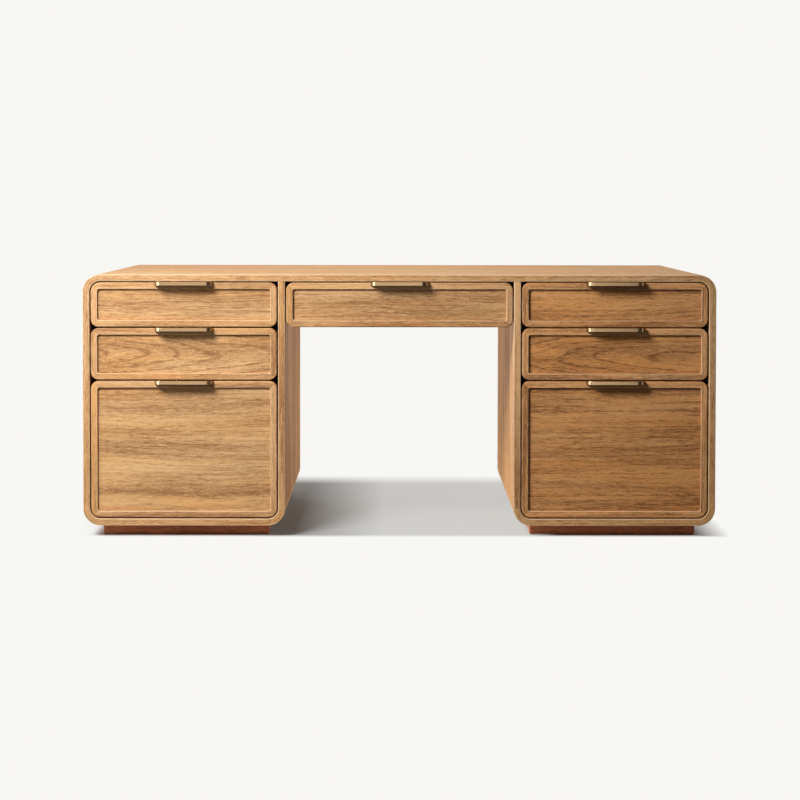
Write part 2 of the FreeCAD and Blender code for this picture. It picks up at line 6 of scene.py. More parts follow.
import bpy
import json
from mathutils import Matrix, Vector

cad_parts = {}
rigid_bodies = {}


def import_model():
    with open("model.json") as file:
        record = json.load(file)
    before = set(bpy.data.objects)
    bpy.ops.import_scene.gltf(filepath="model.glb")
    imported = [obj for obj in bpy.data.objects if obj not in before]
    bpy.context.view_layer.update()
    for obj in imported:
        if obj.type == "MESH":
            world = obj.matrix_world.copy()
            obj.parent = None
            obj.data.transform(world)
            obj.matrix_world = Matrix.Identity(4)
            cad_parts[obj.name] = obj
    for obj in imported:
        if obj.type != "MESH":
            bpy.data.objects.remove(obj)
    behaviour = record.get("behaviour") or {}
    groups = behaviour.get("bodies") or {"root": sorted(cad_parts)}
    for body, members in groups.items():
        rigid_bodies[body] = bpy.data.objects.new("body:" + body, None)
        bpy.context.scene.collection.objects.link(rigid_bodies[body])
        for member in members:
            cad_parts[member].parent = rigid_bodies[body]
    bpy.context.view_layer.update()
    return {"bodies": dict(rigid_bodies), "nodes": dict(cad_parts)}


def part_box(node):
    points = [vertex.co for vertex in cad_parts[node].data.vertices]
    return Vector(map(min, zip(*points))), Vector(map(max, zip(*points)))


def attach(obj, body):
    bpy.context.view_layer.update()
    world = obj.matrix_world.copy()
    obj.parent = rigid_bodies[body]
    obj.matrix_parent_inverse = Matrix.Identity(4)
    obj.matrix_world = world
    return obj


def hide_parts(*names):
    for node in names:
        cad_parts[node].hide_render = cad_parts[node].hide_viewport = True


bl_info = {
    "name": "Office Desk",
    "version": (1, 0, 0),
    "blender": (4, 5, 0),
    "location": "View3D > Sidebar > Desk",
    "description": "Models and dresses a double-pedestal wooden office desk",
    "category": "Object",
}

import json
import math
from typing import NamedTuple

import bmesh
import bpy
from mathutils import Matrix, Vector

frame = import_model()

X, Y, Z = 0, 1, 2
QUARTER = math.pi / 2
SIDES = ("left", "right")
DRAWERS = [name for name in frame["bodies"] if name.endswith("_drawer")]
FINISHES = {
    "carcass_wood": "satin_walnut_carcass",
    "inner_side_wood": "satin_walnut_inner_side",
    "front_wood": "satin_walnut_frame",
    # Redder, darker copies of the walnut for the right fronts: painted shade.
    "deep_front_wood": "satin_walnut_deep_frame",
    "panel_wood": "satin_walnut_panel",
    "deep_panel_wood": "satin_walnut_deep_panel",
    "arched_panel_wood": "satin_walnut_arched_panel",
    "deep_arched_panel_wood": "satin_walnut_deep_arched_panel",
    "plinth_wood": "stained_plinth",
    "box_wood": "pale_maple",
    "tongue_wood": "hidden_tongue",
    "brass": "satin_brass",
    "slide_steel": "zinc_plated_steel",
    "nylon": "black_nylon",
}

# Names of the stored attributes that the woods read.
GRAIN = "grain"
# Faces that take the painted highlight.
HIGHLIGHT_MASK = "eased"

# Fineness of the meshes and limits of the tests on them.
EDGE_STEPS = 3
CORNER_STEPS = 6
ARC_STEPS = 14
FLOOR_STEPS = 96
TOUCH = 1e-5
FACING = 0.5
HARD_ANGLE = math.radians(35)
MITRE_ANGLE = math.radians(60)
HIGHLIGHT_MASK_SLANT = (-0.99, -0.1)


class Cut(NamedTuple):
    """How a kind of board is cut from its log.

    start is the first board's place along the log and step the way to the next, heart is how far the
    board's middle lies from the log's heart across and through the board, and lean tilts the log against
    the board, which draws arches on its face.
    """
    start: float
    step: float
    heart: tuple
    lean: float = 0.0


INNER_SIDE_CUT = Cut(7.0, 4.0, (0.09, 0.12), 0.03)
BACK_CUT = Cut(17.0, 3.0, (0.02, 0.09), 0.06)
PLINTH_CUT = Cut(40.0, 5.0, (0.3, 0.05))
MEMBER_CUTS = [Cut(60.0 + order, 4.0, (0.05 + 0.03 * order, 0.10 - 0.02 * order), 0.02) for order in range(4)]
PANEL_CUTS = {
    "left_top": Cut(100.0, 3.0, (0.12, 0.06), 0.014),
    "left_middle": Cut(100.0, 3.0, (0.0, 0.05), 0.1),
    "left_file": Cut(100.0, 3.0, (0.19, 0.1), 0.012),
    "centre": Cut(100.0, 3.0, (0.22, 0.05), 0.006),
    "right_top": Cut(100.0, 3.0, (0.17, 0.09), -0.014),
    "right_middle": Cut(100.0, 3.0, (0.01, 0.05), -0.09),
    "right_file": Cut(100.0, 3.0, (-0.2, 0.1), 0.016),
}
BOX_SIDE_CUT = Cut(200.0, 2.0, (0.05, 0.12), 0.02)
BOX_END_CUT = Cut(220.0, 2.0, (0.08, 0.3), 0.02)
BOX_FLOOR_CUT = Cut(240.0, 0.0, (0.06, 0.08), 0.03)
WRAPPED_HEART = (0.1, 0.16)

# The studio: places in metres, turns in radians.
FLOOR_RADIUS = 40
LAMP_COLOUR = (1.0, 0.99, 0.97)
FLAG_LOW, FLAG_HIGH = (1.2, -4.2, 0.0), (1.22, -0.45, 1.8)
FLAG_BLACK = (0.015, 0.015, 0.015, 1)
SENSOR_WIDTH = 36
CAMERA_PLACE = (-0.0115, -5.149, 0.9663)
CAMERA_PITCH, CAMERA_YAW, CAMERA_ROLL = 0.025, 0.0026, 0.0013
LAMPS = (  # name, settings of its power and size, place and target
    ("key", "key_power", "key_size", (-1.6, -2.05, 2.3), (-0.25, -0.37, 0.6)),
    ("overhead", "overhead_power", "overhead_size", (-0.2, 0.5, 2.6), (0, 0.1, 0.76)),
    ("side", "side_power", "side_size", (-2.4, -1.3, 0.6), (-0.6, -0.4, 0.6)),
    ("far_side", "far_side_power", "side_size", (2.6, 1.3, 1.1), (0.9, 0.1, 0.4)),
    ("fill", "left_fill_power", "fill_size", (-1.5, 2.2, 0.45), (0.33, 0, 0.35)),
    ("fill", "right_fill_power", "fill_size", (1.5, 2.2, 0.45), (-0.33, 0, 0.35)),
)


# Settings that a user would change.

def length(name, description, default):
    return bpy.props.FloatProperty(name=name, description=description, default=default, unit="LENGTH")


def power(name, description, default):
    return bpy.props.FloatProperty(name=name, description=description, default=default, unit="POWER")


def factor(name, description, default):
    return bpy.props.FloatProperty(name=name, description=description, default=default, subtype="FACTOR")


def colour(name, description, default):
    return bpy.props.FloatVectorProperty(name=name, description=description, default=default, subtype="COLOR")


def pair(name, description, default, unit="LENGTH"):
    return bpy.props.FloatVectorProperty(
        name=name, description=description, default=default, size=2, unit=unit)


class DeskShape(bpy.types.PropertyGroup):
    """Sizes of the details that the frame's boxes don't give."""
    edge_round: length("Edge Round", "Round on the boards' edges", 0.002)
    front_edge_round: length("Front Edge Round", "Round on a frame's outer edge", 0.0035)
    recess_edge_round: length("Recess Edge Round", "Round on a frame's edge towards its panel", 0.0015)
    corner_radius: length("Corner Radius", "Outer radius of the carcass corners", 0.05)
    front_radius: length("Front Radius", "Corners of a drawer front", 0.023)
    carcass_front_radius: length("Following Radius", "Corners of a front beside a carcass corner", 0.027)
    frame_width: length("Frame Width", "Members of a drawer front's frame", 0.019)
    recess_radius: length("Recess Radius", "Inner corners of the frame", 0.007)
    mitre_ease: length("Mitre Ease", "Fine chamfer along the mitres", 0.0003)
    back_radius: length("Back Radius", "Corners of the back panels", 0.0297)
    plinth_board: length("Plinth Board", "Thickness of the plinth boards", 0.018)
    box_wall: length("Box Wall", "Sides of the drawer boxes", 0.012)
    box_floor: length("Box Floor", "Thickness of the drawer bottoms", 0.006)
    floor_lift: length("Floor Lift", "Drawer bottom above the lower edge of the sides", 0.010)
    tail_pitch: length("Tail Pitch", "Dovetails, about this far apart", 0.037)
    tail_flare: length("Tail Flare", "Dovetails, wider at the tip on each side", 0.002)
    pull_wall: length("Pull Wall", "Plate and lip of a pull", 0.0022)
    pull_radius: length("Pull Radius", "Front corners of a pull", 0.022)
    pull_flange: length("Pull Flange", "Pull's plate on the top edge of the front", 0.014)
    pull_lip: length("Pull Lip", "Height of a pull, its plate included", 0.0095)
    pull_round: length("Pull Edge Round", "Edges of a pull", 0.0008)
    screw_spacing: length("Screw Spacing", "Between the two screws of a pull", 0.12)
    screw_head: length("Screw Head", "Diameter of a pull's screw heads", 0.006)
    screw_depth: length("Screw Depth", "Countersunk part of a screw", 0.0016)
    screw_slot: length("Screw Slot", "Width and depth of a screw's slot", 0.0008)
    screw_gap: length("Screw Gap", "Between a screw's head and its hole", 0.0001)


class DeskFinish(bpy.types.PropertyGroup):
    """Colours of the woods and metals."""
    walnut_pale: colour("Walnut Pale", "Pale wood of carcass, left and centre frames", (0.655, 0.40, 0.195))
    walnut_light: colour("Walnut Light", "Pale wood of left and centre panels", (0.66, 0.405, 0.195))
    walnut_soft: colour("Walnut Soft", "Streaks of carcass, left and centre fronts", (0.285, 0.128, 0.047))
    # The right fronts' redder, darker copy of the walnut: painted shade.
    shaded_walnut_pale: colour("Deep Walnut Pale", "Pale wood of right frames", (0.74, 0.41, 0.185))
    shaded_walnut: colour("Deep Walnut", "Pale wood of right panels", (0.65, 0.33, 0.13))
    shaded_walnut_dark: colour("Walnut Dark", "Streaks of right fronts", (0.21, 0.083, 0.027))
    plinth_light: colour("Plinth Light", "Pale wood of plinths", (0.54, 0.205, 0.092))
    plinth_dark: colour("Plinth Dark", "Streaks of plinths", (0.23, 0.077, 0.035))
    maple_light: colour("Maple Light", "Pale wood of drawer boxes", (0.72, 0.56, 0.37))
    maple_dark: colour("Maple Dark", "Streaks of drawer boxes", (0.54, 0.37, 0.20))
    brass: colour("Brass", "Satin brass of the pulls", (0.92, 0.59, 0.32))
    steel: colour("Steel", "Plated steel of the slides", (0.60, 0.61, 0.62))
    nylon: colour("Nylon", "Floor glides", (0.03, 0.03, 0.03))
    mirrored: factor("Mirrored", "How bright the woods show in the brass", 0.4)


class DeskStage(bpy.types.PropertyGroup):
    """Floor, light and camera."""
    backdrop: colour("Backdrop", "Pale colour of the floor and the air", (0.939, 0.930, 0.896))
    shaded: colour("Shaded Floor", "Floor under the desk, as the camera sees it", (0.62, 0.66, 0.70))
    knee_shaded: colour("Shaded Kneehole", "Kneehole's floor, as the camera sees it", (0.25, 0.265, 0.28))
    knee_half: length("Kneehole Half", "Half the width of the kneehole's floor", 0.36)
    knee_fade: length("Kneehole Fade", "Width of the change beside the kneehole", 0.1)
    knee_shade: pair("Kneehole Shade", "Start and end of the kneehole's shade, across", (-0.31, -0.05))
    knee_clear: pair("Kneehole Clear", "How clear the kneehole's floor is there", (0.055, 0.54), "NONE")
    shade_front: pair("Shade Front", "Where shadows start to fade and are gone, in front", (-0.325, -0.36))
    shade_back: pair("Shade Back", "Where shadows start to fade and are gone, behind", (0.56, 0.73))
    shade_side: pair("Shade Side", "Where shadows start to fade and are gone, at the sides", (0.87, 0.97))
    bounce: colour("Bounce", "Colour of the floor as it lights the desk", (0.09, 0.088, 0.084))
    bounce_reach: length("Bounce Reach", "How far round the desk the floor lights it brightly", 0.15)
    floor_mirrored: factor("Mirrored Floor", "How bright the floor shows in the brass", 0.62)
    key_power: power("Key Power", "Lamp at the upper left", 133.0)
    key_size: length("Key Size", "Side of the key lamp", 1.0)
    overhead_power: power("Overhead Power", "Soft lamp over the writing surface", 23.0)
    overhead_size: length("Overhead Size", "Side of the overhead lamp", 1.6)
    side_power: power("Side Power", "Broad lamp at the left, level with the drawers", 10.0)
    far_side_power: power("Far Side Power", "Broad lamp at the right, behind the fronts", 14.0)
    side_size: length("Side Size", "Side of the broad lamps", 1.0)
    left_fill_power: power("Left Fill Power", "Low lamp at the left, behind the desk", 36.0)
    right_fill_power: power("Right Fill Power", "Low lamp at the right, behind the desk", 26.0)
    fill_size: length("Fill Size", "Side of the low lamps", 0.5)
    fill_colour: colour("Fill Colour", "Light of the low lamps", (1.0, 0.92, 0.8))
    sky: factor("Sky", "Even light from all round", 0.03)
    reflected: factor("Reflected Air", "Brightness of the air in reflections", 0.7)
    lens: bpy.props.FloatProperty(
        name="Lens", description="Focal length for the sensor's width", default=74.66, unit="CAMERA")
    shift: factor("Shift", "Vertical shift of the lens", -0.1933)


def shape():
    return bpy.context.scene.desk_shape


# Modelling by selection and operator.

def centre(low, high):
    return [(a + b) / 2 for a, b in zip(low, high)]


def everywhere(item):
    return True


def only(piece):
    """Selects one object and makes it the active one."""
    bpy.ops.object.select_all(action="DESELECT")
    piece.select_set(True)
    bpy.context.view_layer.objects.active = piece


def fix_place():
    """Moves the place, turn and scale of the object just added into its mesh."""
    bpy.ops.object.transform_apply(location=True, rotation=True, scale=True)


def block(name, low, high):
    """A box from corner to corner."""
    bpy.ops.mesh.primitive_cube_add(size=1, location=centre(low, high))
    piece = bpy.context.active_object
    piece.name = name
    piece.scale = [b - a for a, b in zip(low, high)]
    fix_place()
    return piece


def edit(piece, mode, test):
    """Enters edit mode with only the edges or faces selected that pass the test."""
    only(piece)
    bpy.ops.object.mode_set(mode="EDIT")
    bpy.ops.mesh.select_mode(type=mode)
    bpy.ops.mesh.select_all(action="DESELECT")
    mesh = bmesh.from_edit_mesh(piece.data)
    chosen = [item for item in (mesh.edges if mode == "EDGE" else mesh.faces) if test(item)]
    if not chosen:
        raise RuntimeError(f"nothing to select on {piece.name}")
    for item in chosen:
        item.select_set(True)
    mesh.select_flush_mode()
    bmesh.update_edit_mesh(piece.data)


def select_mesh():
    bpy.ops.mesh.select_all(action="SELECT")


def edit_all(piece):
    """Enters edit mode with everything selected."""
    only(piece)
    bpy.ops.object.mode_set(mode="EDIT")
    select_mesh()


def leave_edit():
    bpy.ops.object.mode_set(mode="OBJECT")


def runs(edge, axis):
    """Whether an edge is parallel to an axis."""
    first, second = (vertex.co for vertex in edge.verts)
    return all(abs(first[other] - second[other]) < TOUCH for other in (X, Y, Z) if other != axis)


def lies(item, axis, place):
    """Whether an edge or face lies in the plane where one coordinate has that value."""
    return all(abs(vertex.co[axis] - place) < TOUCH for vertex in item.verts)


def round_edges(piece, radius, test=everywhere, steps=EDGE_STEPS):
    edit(piece, "EDGE", test)
    bpy.ops.mesh.bevel(offset=radius, segments=steps, affect="EDGES")
    leave_edit()


def use_modifier(piece, kind, **values):
    """Adds a modifier and applies it."""
    only(piece)
    modifier = piece.modifiers.new(kind.title(), kind)
    for name, value in values.items():
        setattr(modifier, name, value)
    bpy.ops.object.modifier_apply(modifier=modifier.name)


def bevel(piece, width, steps, angle):
    """Bevels the edges that are sharper than an angle."""
    use_modifier(piece, "BEVEL", width=width, segments=steps, limit_method="ANGLE", angle_limit=angle)


def carve(piece, cutter):
    """Takes the cutter's shape out of a piece."""
    use_modifier(piece, "BOOLEAN", operation="DIFFERENCE", solver="EXACT", object=cutter)
    edit_all(piece)
    bpy.ops.mesh.dissolve_degenerate(threshold=TOUCH)
    leave_edit()


def drop(piece):
    bpy.data.objects.remove(piece, do_unlink=True)


def cut_away(piece, cutter):
    """Takes the cutter's shape out of a piece and drops the cutter."""
    carve(piece, cutter)
    drop(cutter)


def copy(piece, name, move=(0, 0, 0)):
    """A copy with its own mesh, moved within that mesh."""
    twin = piece.copy()
    twin.data = piece.data.copy()
    twin.name = name
    twin.data.name = name
    twin.data.transform(Matrix.Translation(move))
    bpy.context.scene.collection.objects.link(twin)
    return twin


def join(pieces, name):
    """Several pieces as one."""
    only(pieces[0])
    for piece in pieces:
        piece.select_set(True)
    bpy.ops.object.join()
    pieces[0].name = name
    pieces[0].data.name = name
    return pieces[0]


def settle(piece, body, slot, node, finish=None):
    """Finishes a piece: shading, material, the body it moves with and the node it stands for."""
    only(piece)
    bpy.ops.object.shade_smooth_by_angle(angle=HARD_ANGLE)
    use_modifier(piece, "WEIGHTED_NORMAL", keep_sharp=True)
    dress(piece, finish or slot)
    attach(piece, body)
    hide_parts(node)


def dress(piece, finish):
    """Gives a piece or a CAD node its material."""
    slots = piece.data.materials
    slots.clear()
    slots.append(bpy.data.materials[FINISHES[finish]])


def ease(piece, test=everywhere):
    """Marks the rounded faces towards the front, which the woods paint paler as a painted highlight."""
    stored = piece.data.attributes.new(HIGHLIGHT_MASK, "FLOAT", "FACE")
    for face in piece.data.polygons:
        slanted = HIGHLIGHT_MASK_SLANT[0] < face.normal.y < HIGHLIGHT_MASK_SLANT[1]
        stored.data[face.index].value = 1.0 if slanted and test(face.center) else 0.0


def timber(piece, rule):
    """Stores each point's place in its board's timber: along the grain, across it and through it."""
    mesh = piece.data
    values = [number for vertex in mesh.vertices for number in rule(vertex.co)]
    stored = mesh.attributes.new(GRAIN, "FLOAT_VECTOR", "POINT")
    stored.data.foreach_set("vector", values)


def sawn(low, high, along, across, cut, number=0, further=0.0):
    """The timber rule of a straight board, by its number among its kind, and further along its log."""
    through = X + Y + Z - along - across
    middle = centre(low, high)
    start = cut.start + cut.step * number + further

    def rule(point):
        ahead = point[along] - middle[along]
        return (ahead + start, point[across] - middle[across] + cut.heart[0],
                point[through] - middle[through] + cut.heart[1] + cut.lean * ahead)
    return rule


def wrapped():
    """The timber rule of the sheet that runs over the top, down the sides and in under the pedestals."""
    radius = shape().corner_radius
    top_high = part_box("desk_top")[1]
    side_low, side_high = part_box("right_outer_side")
    bottom_low, bottom_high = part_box("right_bottom")
    side_start = top_high[X] + radius * QUARTER
    side_end = side_start + side_high[Z] - side_low[Z]
    bottom_start = side_end + radius * QUARTER

    def bent(start, ahead, out):
        """A place on the corner that begins at start, with ahead and out measured from its axis."""
        return start + radius * math.atan2(ahead, out), math.hypot(ahead, out) - radius

    def unrolled(x, z):
        """The way along the sheet from the middle of the top, and the height over its face."""
        if x <= top_high[X] + TOUCH and z > side_high[Z]:
            return x, z - top_high[Z]
        if z > side_high[Z] + TOUCH:
            return bent(top_high[X], x - top_high[X], z - side_high[Z])
        if z >= side_low[Z] - TOUCH and x > bottom_high[X] - TOUCH:
            return side_start + side_high[Z] - z, x - side_high[X]
        if x > bottom_high[X] + TOUCH:
            return bent(side_end, side_low[Z] - z, x - bottom_high[X])
        if x >= bottom_low[X] - TOUCH:
            return bottom_start + bottom_high[X] - x, bottom_low[Z] - z
        return bent(bottom_start + bottom_high[X] - bottom_low[X], bottom_low[X] - x, side_low[Z] - z)

    def rule(point):
        ahead, out = unrolled(abs(point[X]), point[Z])
        return (math.copysign(ahead, point[X]), point[Y] + WRAPPED_HEART[0], out + WRAPPED_HEART[1])
    return rule


# Shader building.

def opaque(rgb):
    return (*rgb, 1)


def grey(level):
    return (level, level, level, 1)


class Nodes:
    """Adds nodes to a tree and joins them."""

    def __init__(self, tree):
        self.tree = tree

    def add(self, kind, **settings):
        node = self.tree.nodes.new(f"ShaderNode{kind}")
        for name, value in settings.items():
            setattr(node, name, value)
        return node

    def feed(self, socket, source):
        """Links a socket to another, or sets its value."""
        if hasattr(source, "is_output"):
            self.tree.links.new(source, socket)
        else:
            socket.default_value = source

    def feed_all(self, sockets, sources):
        for socket, source in zip(sockets, sources):
            self.feed(socket, source)

    def math(self, operation, *sources):
        node = self.add("Math", operation=operation)
        self.feed_all(node.inputs, sources)
        return node.outputs[0]

    def plus(self, first, second):
        return self.math("ADD", first, second)

    def minus(self, first, second):
        return self.math("SUBTRACT", first, second)

    def times(self, first, second):
        return self.math("MULTIPLY", first, second)

    def most(self, first, second):
        return self.math("MAXIMUM", first, second)

    def vector(self, operation, *sources):
        node = self.add("VectorMath", operation=operation)
        self.feed_all(node.inputs, sources)
        return node.outputs["Value" if operation == "LENGTH" else "Vector"]

    def noise(self, vector, scale, detail=2.0, roughness=0.5):
        """Noise stretched by its own scale along each axis."""
        node = self.add("TexNoise")
        sources = {"Vector": self.vector("MULTIPLY", vector, scale), "Scale": 1.0, "Detail": detail,
                   "Roughness": roughness}
        for name, source in sources.items():
            self.feed(node.inputs[name], source)
        return node.outputs["Fac"]

    def spread(self, value, low, high, to_low=0.0, to_high=1.0):
        """Maps low to to_low and high to to_high, and nothing beyond them."""
        node = self.add("MapRange", clamp=True)
        self.feed_all(node.inputs, (value, low, high, to_low, to_high))
        return node.outputs[0]

    def blend(self, share, first, second, mode="MIX"):
        node = self.add("Mix", data_type="RGBA", blend_type=mode)
        sources = {"Factor_Float": share, "A_Color": first, "B_Color": second}
        for socket in node.inputs:
            if socket.identifier in sources:
                self.feed(socket, sources[socket.identifier])
        return next(output for output in node.outputs if output.type == "RGBA")

    def tinted(self, source, tint):
        return self.blend(1.0, source, tint, "MULTIPLY")

    def seen(self, rays):
        """Whether the camera sees the place, straight or through something clear."""
        return self.most(rays["Is Camera Ray"], rays["Is Transmission Ray"])


def new_group(name, inputs):
    """A node group with the named inputs and their defaults, and a colour, roughness and height to give."""
    tree = bpy.data.node_groups.new(name, "ShaderNodeTree")
    for label, default in inputs.items():
        kind = "Float" if isinstance(default, float) else "Color" if len(default) == 4 else "Vector"
        socket = tree.interface.new_socket(label, in_out="INPUT", socket_type=f"NodeSocket{kind}")
        socket.default_value = default
    for label, kind in (("Color", "Color"), ("Roughness", "Float"), ("Height", "Float")):
        tree.interface.new_socket(label, in_out="OUTPUT", socket_type=f"NodeSocket{kind}")
    return Nodes(tree), tree.nodes.new("NodeGroupInput").outputs, tree.nodes.new("NodeGroupOutput").inputs


def timber_group():
    """Streaks, growth lines, flecks and pores of sawn timber, and a painted highlight on the rounded front
    edges.

    The noises' scales count changes in a metre along the grain, across it and through it.
    """
    mean, sway_reach, jag_reach, line_spacing = 0.5, 0.035, 0.006, 0.012
    fine_weight, fibre_weight, mean_streak, relief = 1.3, 0.8, 1.45, 0.4
    rosy_tint, cream_tint = (0.98, 0.86, 0.70, 1), (1.22, 1.25, 1.3, 1)
    # Pores, and the pale colour of the painted highlight on rounded front edges.
    pore_colour, painted_highlight_colour = (0.05, 0.02, 0.008, 1), (0.92, 0.74, 0.52, 1)
    nodes, given, result = new_group("sawn_timber", {
        "Timber": (0, 0, 0), "Light": grey(1), "Dark": grey(0), "Streak": 1.0, "Broad": 2.0, "Line": 0.3,
        "Fleck": 0.4, "Eased": 0.0, "Rubbed": 0.6})
    place = given["Timber"]
    sway = nodes.times(nodes.minus(nodes.noise(place, (2.4, 8, 8)), mean), sway_reach)
    shift = nodes.add("CombineXYZ")
    nodes.feed(shift.inputs["Y"], sway)
    nodes.feed(shift.inputs["Z"], sway)
    swayed = nodes.vector("ADD", place, shift.outputs[0])
    broad = nodes.noise(swayed, (1.4, 26, 26), 3.0)
    fine = nodes.noise(swayed, (6.5, 230, 230), 4.0, 0.65)
    fibre = nodes.noise(swayed, (30, 1300, 1300), 2.0, 0.6)
    grain = nodes.minus(nodes.noise(swayed, (34, 330, 330), 3.0, 0.65), mean)
    speckle = nodes.noise(swayed, (170, 360, 360), 2.0, 0.6)
    fleck = nodes.spread(grain, 0.05, 0.16)
    gleam = nodes.spread(grain, -0.05, -0.16)
    pore = nodes.spread(nodes.noise(swayed, (140, 2100, 2100), 1.0), 0.6, 0.7)
    across = nodes.vector("LENGTH", nodes.vector("MULTIPLY", swayed, (0, 1, 1)))
    jag = nodes.times(nodes.plus(nodes.minus(fine, mean), grain), jag_reach)
    ring = nodes.math("FRACT", nodes.math("DIVIDE", nodes.plus(across, jag), line_spacing))
    line = nodes.times(nodes.spread(ring, 0.74, 0.95), nodes.spread(ring, 1.0, 0.96))
    band = nodes.times(nodes.minus(broad, mean), given["Broad"])
    streak = nodes.plus(band, nodes.times(fine, fine_weight))
    streak = nodes.plus(streak, nodes.times(nodes.plus(fibre, speckle), fibre_weight))
    streak = nodes.times(nodes.minus(streak, mean_streak), given["Streak"])
    shade = nodes.plus(streak, nodes.times(line, given["Line"]))
    shade = nodes.plus(shade, nodes.times(fleck, given["Fleck"]))
    shade = nodes.spread(shade, -0.3, 0.62)
    tone = nodes.spread(nodes.noise(swayed, (1.1, 14, 14)), 0.38, 0.62)
    early = nodes.blend(tone, given["Light"], nodes.tinted(given["Light"], rosy_tint))
    wood = nodes.blend(shade, early, given["Dark"])
    cream = nodes.tinted(given["Light"], cream_tint)
    wood = nodes.blend(nodes.times(gleam, given["Fleck"]), wood, cream)
    open_pore = nodes.times(pore, given["Fleck"])
    wood = nodes.blend(open_pore, wood, pore_colour)
    # Painted highlight: the marked rounded faces blend towards a pale colour, as if the lamps lit their
    # rounds.
    painted_highlight = nodes.times(given["Eased"], given["Rubbed"])
    height = nodes.minus(nodes.times(fibre, relief), nodes.times(fleck, relief))
    nodes.feed(result["Color"], nodes.blend(painted_highlight, wood, painted_highlight_colour))
    nodes.feed(result["Roughness"], nodes.spread(shade, 0.0, 1.0, 0.5, 0.62))
    nodes.feed(result["Height"], nodes.minus(height, open_pore))


def brushed_group():
    """Fine parallel scratches and a slow, cloudy change of tone."""
    worn_tint = (0.72, 0.66, 0.58, 1)
    nodes, given, result = new_group("brushed_metal", {
        "Place": (0, 0, 0), "Color": grey(1), "Stretch": (6, 900, 900), "Roughness": 0.3})
    stretched = nodes.vector("MULTIPLY", given["Place"], given["Stretch"])
    scratch = nodes.noise(stretched, (1, 1, 1), 3.0, 0.6)
    cloud = nodes.noise(given["Place"], (28, 28, 28), 3.0)
    worn = nodes.spread(cloud, 0.35, 0.7, 0.0, 0.08)
    scratched = nodes.spread(scratch, 0.3, 0.7, -0.05, 0.07)
    nodes.feed(result["Color"], nodes.blend(worn, given["Color"], nodes.tinted(given["Color"], worn_tint)))
    nodes.feed(result["Roughness"], nodes.plus(given["Roughness"], nodes.plus(scratched, worn)))
    nodes.feed(result["Height"], scratch)


def grained_group():
    """Fine grain of moulded plastic."""
    nodes, given, result = new_group("moulded_grain", {"Place": (0, 0, 0), "Color": grey(1)})
    grain = nodes.noise(given["Place"], (1500, 1500, 1500))
    pale = nodes.blend(1.0, given["Color"], grey(0.05), "ADD")
    nodes.feed(result["Color"], nodes.blend(nodes.spread(grain, 0.4, 0.7), given["Color"], pale))
    nodes.feed(result["Roughness"], nodes.spread(grain, 0.3, 0.7, 0.45, 0.65))
    nodes.feed(result["Height"], grain)


def new_material(finish, group, values, grained=False, metallic=0.0, specular=0.5, bump=0.2, depth=0.0002,
                 thrown=1.0, mirrored=1.0):
    """A principled material fed by one of the groups, at the stored place in the timber if it is grained.

    Thrown is how much of its colour it throws on others, mirrored how bright it shows in a reflection.
    """
    material = bpy.data.materials.new(FINISHES[finish])
    material.use_nodes = True
    nodes = Nodes(material.node_tree)
    shader = material.node_tree.nodes["Principled BSDF"]
    detail = nodes.add("Group", node_tree=bpy.data.node_groups[group])
    if grained:
        for name, label, output in ((GRAIN, "Timber", "Vector"), (HIGHLIGHT_MASK, "Eased", "Fac")):
            source = nodes.add("Attribute", attribute_type="GEOMETRY", attribute_name=name)
            nodes.feed(detail.inputs[label], source.outputs[output])
    else:
        nodes.feed(detail.inputs[0], nodes.add("TexCoord").outputs["Object"])
    for label, value in values.items():
        nodes.feed(detail.inputs[label], value)
    raised = nodes.add("Bump")
    for label, value in (("Strength", bump), ("Distance", depth), ("Height", detail.outputs["Height"])):
        nodes.feed(raised.inputs[label], value)
    shown = detail.outputs["Color"]
    for ray, part in (("Is Diffuse Ray", thrown), ("Is Glossy Ray", mirrored)):
        if part < 1.0:
            dimmed = nodes.tinted(shown, grey(part))
            shown = nodes.blend(nodes.add("LightPath").outputs[ray], shown, dimmed)
    looks = {"Base Color": shown, "Roughness": detail.outputs["Roughness"], "Metallic": metallic,
             "Specular IOR Level": specular, "Normal": raised.outputs["Normal"]}
    for label, value in looks.items():
        nodes.feed(shader.inputs[label], value)


# Operators, one for each piece or group of like pieces.

